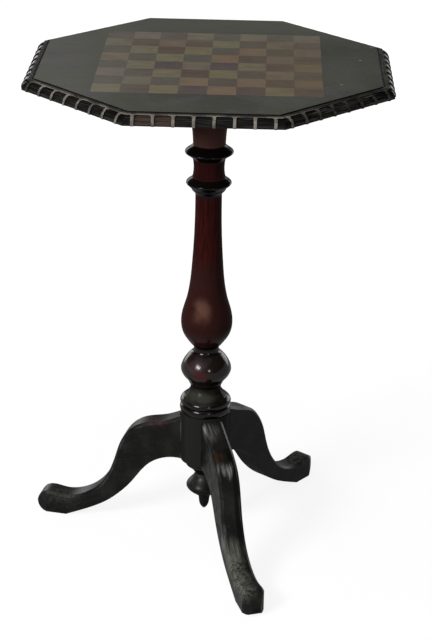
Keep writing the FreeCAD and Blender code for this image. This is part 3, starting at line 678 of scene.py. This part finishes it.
def makeLegs():
    material, tree, place = newMaterial("sawnWoodBlackened")
    at = addNode(tree, "SeparateXYZ", {"Vector": place})
    level = addNode(tree, "VectorMath", {0: place, 1: (1, 1, 0)}, operation="MULTIPLY")
    reach = addNode(tree, "VectorMath", {0: level}, operation="LENGTH").outputs["Value"]
    ahead = addNode(tree, "Math", {0: at.outputs["Y"], 1: -1.0}, operation="MULTIPLY")
    turn = addNode(tree, "Math", {0: at.outputs["X"], 1: ahead}, operation="ARCTAN2")
    turn = addNode(tree, "Math", {0: turn, 1: legSpec["grainTurn"]}, operation="MULTIPLY")
    plank = addNode(tree, "CombineXYZ", {"X": reach, "Y": turn, "Z": at.outputs["Z"]})
    fall = -math.radians(legSpec["grainFall"])
    plank = addNode(tree, "Mapping", {"Vector": plank, "Rotation": (0, fall, 0)})
    grain = fibres(tree, plank, 0, legSpec["grainWidth"], legSpec["grainLength"])
    cloud = addNode(tree, "TexNoise", {"Vector": place, "Scale": perMm(legSpec["cloud"]), "Detail": 5.0})
    mottle = addNode(tree, "TexNoise", {"Vector": place, "Scale": perMm(legSpec["mottle"]), "Detail": 6.0,
                                        "Roughness": 0.7})
    onLeg = addNode(tree, "VectorRotate", {"Vector": place, "Angle": math.radians(legSpec["bearing"])},
                    rotation_type="Z_AXIS", invert=True)
    across = addNode(tree, "SeparateXYZ", {"Vector": onLeg}).outputs["Y"]
    drawn = legSpec["streakWidth"] / legSpec["streakLength"]
    onLeg = addNode(tree, "Mapping", {"Vector": onLeg, "Scale": (drawn, 1.0, drawn)})
    streak = addNode(tree, "TexNoise", {"Vector": onLeg, "Scale": perMm(legSpec["streakWidth"]),
                                        "Detail": 5.0, "Roughness": 0.65})
    surface = addNode(tree, "NewGeometry")
    turnedTo = addNode(tree, "SeparateXYZ", {"Vector": surface.outputs["Normal"]})
    wood = layer(tree, legSpec["black"], legSpec["grey"], cloud.outputs["Fac"], 0.4, 0.72)
    wood = layer(tree, wood, legSpec["grey"], grain.outputs["Fac"], 0.5, 0.7, 0.6)
    scuff = addNode(tree, "TexNoise", {"Vector": place, "Scale": perMm(legSpec["scuffSize"]), "Detail": 6.0,
                                       "Roughness": 0.75})
    wood = layer(tree, wood, legSpec["scuff"], scuff.outputs["Fac"], 0.56, 0.72, 0.5)
    toLeft = addNode(tree, "MapRange", {"Value": turnedTo.outputs["X"], "From Min": legSpec["leftward"][0],
                                        "From Max": legSpec["leftward"][1]})
    forward = addNode(tree, "MapRange", {"Value": at.outputs["Y"], "From Min": legSpec["forward"][0],
                                         "From Max": legSpec["forward"][1]})
    mottled = addNode(tree, "MapRange", {"Value": mottle.outputs["Fac"], "From Min": 0.35, "From Max": 0.6})
    # painted sheen on faces turned to the left light, on the front leg alone
    sheenMask = addNode(tree, "Math", {0: toLeft, 1: forward}, operation="MULTIPLY")
    sheenMask = addNode(tree, "Math", {0: sheenMask, 1: mottled}, operation="MULTIPLY")
    wood = layer(tree, wood, legSpec["haze"], sheenMask, most=0.85)
    spec = legSpec["shaded"]
    lowest, highest = spec["heights"]
    shade = addNode(tree, "MapRange", {"Value": across, "From Min": spec["across"][0] * mm,
                                       "From Max": spec["across"][1] * mm})
    shade = addNode(tree, "Math", {0: shade, 1: forward}, operation="MULTIPLY")
    within = band(tree, at.outputs["Z"], lowest * mm, highest * mm, spec["soft"] * mm)
    shade = addNode(tree, "Math", {0: shade, 1: within}, operation="MULTIPLY")
    wood = layer(tree, wood, spec["tone"], shade, most=spec["most"])
    for kind, noise in {"streak": streak, "scuff": scuff}.items():
        for mark in legSpec["marks"][kind].values():
            broken = spot(tree, place, mark, noise)
            wood = layer(tree, wood, legSpec[mark["tone"]], broken, most=mark["most"])
    # painted highlights
    for highlightSpot in legSpec["highlightSpots"].values():
        wood = layer(tree, wood, legSpec["pale"], spot(tree, place, highlightSpot, streak), most=highlightSpot["most"])
    # edges paled: partly wear, partly a painted highlight along them
    rounded = addNode(tree, "Bevel", {"Radius": legSpec["bevel"] * mm}, samples=6)
    flat = addNode(tree, "VectorMath", {0: rounded, 1: surface.outputs["Normal"]}, operation="DOT_PRODUCT")
    edges = addNode(tree, "MapRange", {"Value": flat.outputs["Value"], "From Min": legSpec["bevelTurn"][0],
                                       "From Max": legSpec["bevelTurn"][1]})
    patchy = addNode(tree, "MapRange", {"Value": cloud.outputs["Fac"], "From Min": 0.42, "From Max": 0.66})
    rubbed = addNode(tree, "Math", {0: edges, 1: patchy}, operation="MULTIPLY")
    lowest, highest = legSpec["paleEdgeHeights"]
    paleZone = band(tree, at.outputs["Z"], lowest * mm, highest * mm, legSpec["paleEdgeSoft"] * mm)
    rubbed = addNode(tree, "Math", {0: rubbed, 1: paleZone}, operation="MULTIPLY")
    wood = layer(tree, wood, legSpec["edgeWearAndHighlight"], rubbed, most=0.6)
    wood = layer(tree, wood, legSpec["under"], turnedTo.outputs["Z"], *legSpec["downward"])
    coat = addNode(tree, "MapRange", {"Value": turnedTo.outputs["Z"], "From Min": legSpec["coatTurn"][0],
                                      "From Max": legSpec["coatTurn"][1], "To Min": legSpec["coat"][0],
                                      "To Max": legSpec["coat"][1]})
    shine = addNode(tree, "MapRange", {"Value": shade, "To Min": 1.0, "To Max": spec["coat"]})
    coat = addNode(tree, "Math", {0: coat, 1: shine}, operation="MULTIPLY")
    rough = addNode(tree, "MapRange", {"Value": cloud.outputs["Fac"], "To Min": legSpec["rough"][0],
                                       "To Max": legSpec["rough"][1]})
    finishMaterial(tree, {"Base Color": wood, "Roughness": rough, "Specular IOR Level": 0.0,
                          "Coat Weight": coat, "Coat Roughness": legSpec["coatRough"]},
                   grain.outputs["Fac"], legSpec["grainDepth"])
    return material


paint(makeLegs(), "leg_left", "leg_right", "leg_front", "pendant")
print("column, legs and drop finished")


# Underframe: bare hardwood, darkened by age and handling
frameSpec = {
    "pale": "#6d4b30",
    "dark": "#3f2818",
    "grainWidth": 1.8,
    "grainLength": 80.0,
    "grainDepth": 0.12,
    "cloud": 40.0,
    "rough": 0.72,
    "specular": 0.3,
}


def makeUnderframe(name, axis):
    material, tree, place = newMaterial(name)
    grain = fibres(tree, place, axis, frameSpec["grainWidth"], frameSpec["grainLength"])
    cloud = addNode(tree, "TexNoise", {"Vector": place, "Scale": perMm(frameSpec["cloud"]), "Detail": 3.0})
    wood = layer(tree, frameSpec["pale"], frameSpec["dark"], grain.outputs["Fac"], 0.32, 0.7)
    wood = layer(tree, wood, frameSpec["dark"], cloud.outputs["Fac"], 0.3, 0.7, 0.6)
    finishMaterial(tree, {"Base Color": wood, "Roughness": frameSpec["rough"],
                          "Specular IOR Level": frameSpec["specular"]},
                   grain.outputs["Fac"], frameSpec["grainDepth"])
    return material


paint(makeUnderframe("beechPlanedAlongY", 1), "bearer_left", "bearer_right")
paint(makeUnderframe("beechPlanedAlongX", 0), "top_block", "tenon_wedge")


# Metal of the tilt: iron pins and screws with dark scale, and a cast brass catch gone brown
metalSpec = {
    "ironForgedDark": {"clean": "#6b6762", "dirt": "#2b2724", "grit": 1.6, "rough": (0.35, 0.6)},
    "brassCastTarnished": {"clean": "#b08d4a", "dirt": "#55401f", "grit": 3.0, "rough": (0.28, 0.5)},
}
gritDepth = 0.02  # of either metal


def makeMetal(name):
    spec = metalSpec[name]
    material, tree, place = newMaterial(name)
    grit = addNode(tree, "TexNoise", {"Vector": place, "Scale": perMm(spec["grit"]), "Detail": 5.0})
    tone = layer(tree, spec["clean"], spec["dirt"], grit.outputs["Fac"], 0.42, 0.68)
    rough = addNode(tree, "MapRange", {"Value": grit.outputs["Fac"], "To Min": spec["rough"][0],
                                       "To Max": spec["rough"][1]})
    finishMaterial(tree, {"Base Color": tone, "Roughness": rough, "Metallic": 1.0},
                   grit.outputs["Fac"], gritDepth)
    return material


paint(makeMetal("ironForgedDark"), "pivot_pin_left", "pivot_pin_right", "bearer_screws")
paint(makeMetal("brassCastTarnished"), "catch_case", "catch_bolt", "catch_knob", "catch_screws",
      "strike_plate", "strike_screws")
print("underframe and metal finished")
